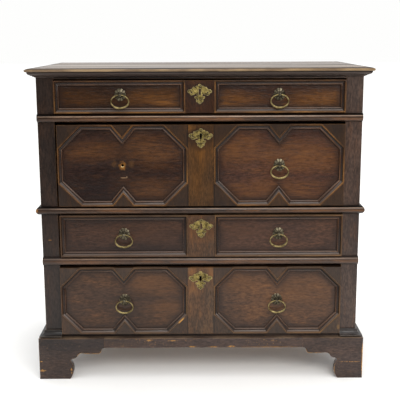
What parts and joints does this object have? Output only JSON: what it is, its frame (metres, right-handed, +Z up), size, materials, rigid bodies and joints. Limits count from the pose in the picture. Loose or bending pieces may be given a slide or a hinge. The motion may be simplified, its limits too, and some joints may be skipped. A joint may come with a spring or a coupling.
{
  "type": "chest of drawers",
  "caption": "Oak chest of long drawers in two stacked sections, with geometric applied mouldings, brass ring pulls, pierced escutcheons, moulded top and bracket feet.",
  "frame": {"origin": "on the floor, under the middle of the top board", "axes": "+X to the right seen from the front, the front faces -Y, +Z up from the floor"},
  "size_m": [0.974, 0.59, 0.916],
  "materials": {
    "oak_frame": "dark stained and waxed oak, worn to brown on the edges",
    "oak_top": "waxed oak, worn and paler than the case",
    "oak_field": "dark waxed oak with a reddish cast, grain lengthwise",
    "oak_plate": "waxed oak, warmer and lighter than the fields, grain upright",
    "oak_moulding": "dark waxed oak with ochre worn edges",
    "oak_inner": "dry unwaxed oak",
    "brass": "old brass, olive brown in the hollows",
    "iron": "dark wrought iron"
  },
  "bodies": {
    "case": {"top_board": "oak_top", "top_bed_moulding": "oak_moulding", "front_posts": "oak_frame", "rear_posts": "oak_frame", "front_rails": "oak_frame", "side_rails": "oak_frame", "side_panels": "oak_frame", "rear_rails": "oak_inner", "back_boards": "oak_inner", "drawer_runners": "oak_inner", "rail_mouldings": "oak_moulding", "waist_moulding": "oak_moulding", "base_moulding": "oak_moulding", "front_brackets": "oak_frame", "side_brackets": "oak_frame", "front_apron": "oak_frame", "side_aprons": "oak_frame", "rear_brackets": "oak_inner", "corner_blocks": "oak_inner", "section_dowels": "oak_inner"},
    "drawer_1": {"drawer_1_front": "oak_field", "drawer_1_box": "oak_inner", "drawer_1_bottom": "oak_inner", "drawer_1_mouldings": "oak_moulding", "drawer_1_plates": "oak_plate", "drawer_1_escutcheon": "brass", "drawer_1_pull_mounts": "brass"},
    "drawer_2": {"drawer_2_front": "oak_field", "drawer_2_box": "oak_inner", "drawer_2_bottom": "oak_inner", "drawer_2_mouldings": "oak_moulding", "drawer_2_plates": "oak_plate", "drawer_2_escutcheon": "brass", "drawer_2_pull_mounts": "brass", "drawer_2_lock": "iron"},
    "drawer_3": {"drawer_3_front": "oak_field", "drawer_3_box": "oak_inner", "drawer_3_bottom": "oak_inner", "drawer_3_mouldings": "oak_moulding", "drawer_3_plates": "oak_plate", "drawer_3_escutcheon": "brass", "drawer_3_pull_mounts": "brass"},
    "drawer_4": {"drawer_4_front": "oak_field", "drawer_4_box": "oak_inner", "drawer_4_bottom": "oak_inner", "drawer_4_mouldings": "oak_moulding", "drawer_4_plates": "oak_plate", "drawer_4_escutcheon": "brass", "drawer_4_pull_mounts": "brass", "drawer_4_lock": "iron"},
    "drawer_1_left_ring": {"drawer_1_left_ring": "brass"},
    "drawer_1_right_ring": {"drawer_1_right_ring": "brass"},
    "drawer_2_right_ring": {"drawer_2_right_ring": "brass"},
    "drawer_3_left_ring": {"drawer_3_left_ring": "brass"},
    "drawer_3_right_ring": {"drawer_3_right_ring": "brass"},
    "drawer_4_left_ring": {"drawer_4_left_ring": "brass"},
    "drawer_4_right_ring": {"drawer_4_right_ring": "brass"},
    "drawer_2_lock_bolt": {"drawer_2_lock_bolt": "iron"},
    "drawer_4_lock_bolt": {"drawer_4_lock_bolt": "iron"}
  },
  "joints": [
    {"name": "drawer_1_slide", "type": "slide", "parent": "case", "child": "drawer_1", "axis": [0, -1, 0], "range_m": [0, 0.4]},
    {"name": "drawer_2_slide", "type": "slide", "parent": "case", "child": "drawer_2", "axis": [0, -1, 0], "range_m": [0, 0.4]},
    {"name": "drawer_3_slide", "type": "slide", "parent": "case", "child": "drawer_3", "axis": [0, -1, 0], "range_m": [0, 0.4]},
    {"name": "drawer_4_slide", "type": "slide", "parent": "case", "child": "drawer_4", "axis": [0, -1, 0], "range_m": [0, 0.4]},
    {"name": "drawer_1_left_ring_swing", "type": "hinge", "parent": "drawer_1", "child": "drawer_1_left_ring", "pos_m": [-0.224, -0.283, 0.842], "axis": [-1, 0, 0], "range_deg": [-10, 174]},
    {"name": "drawer_1_right_ring_swing", "type": "hinge", "parent": "drawer_1", "child": "drawer_1_right_ring", "pos_m": [0.224, -0.283, 0.842], "axis": [-1, 0, 0], "range_deg": [-10, 174]},
    {"name": "drawer_2_right_ring_swing", "type": "hinge", "parent": "drawer_2", "child": "drawer_2_right_ring", "pos_m": [0.2265, -0.283, 0.641], "axis": [-1, 0, 0], "range_deg": [-16, 195]},
    {"name": "drawer_3_left_ring_swing", "type": "hinge", "parent": "drawer_3", "child": "drawer_3_left_ring", "pos_m": [-0.2215, -0.283, 0.44], "axis": [-1, 0, 0], "range_deg": [-16, 195]},
    {"name": "drawer_3_right_ring_swing", "type": "hinge", "parent": "drawer_3", "child": "drawer_3_right_ring", "pos_m": [0.2265, -0.283, 0.44], "axis": [-1, 0, 0], "range_deg": [-16, 195]},
    {"name": "drawer_4_left_ring_swing", "type": "hinge", "parent": "drawer_4", "child": "drawer_4_left_ring", "pos_m": [-0.224, -0.283, 0.24], "axis": [-1, 0, 0], "range_deg": [-16, 195]},
    {"name": "drawer_4_right_ring_swing", "type": "hinge", "parent": "drawer_4", "child": "drawer_4_right_ring", "pos_m": [0.224, -0.283, 0.24], "axis": [-1, 0, 0], "range_deg": [-16, 195]},
    {"name": "drawer_2_lock_bolt_slide", "type": "slide", "parent": "drawer_2", "child": "drawer_2_lock_bolt", "axis": [0, 0, 1], "range_m": [0, 0.013]},
    {"name": "drawer_4_lock_bolt_slide", "type": "slide", "parent": "drawer_4", "child": "drawer_4_lock_bolt", "axis": [0, 0, 1], "range_m": [0, 0.013]}
  ]
}
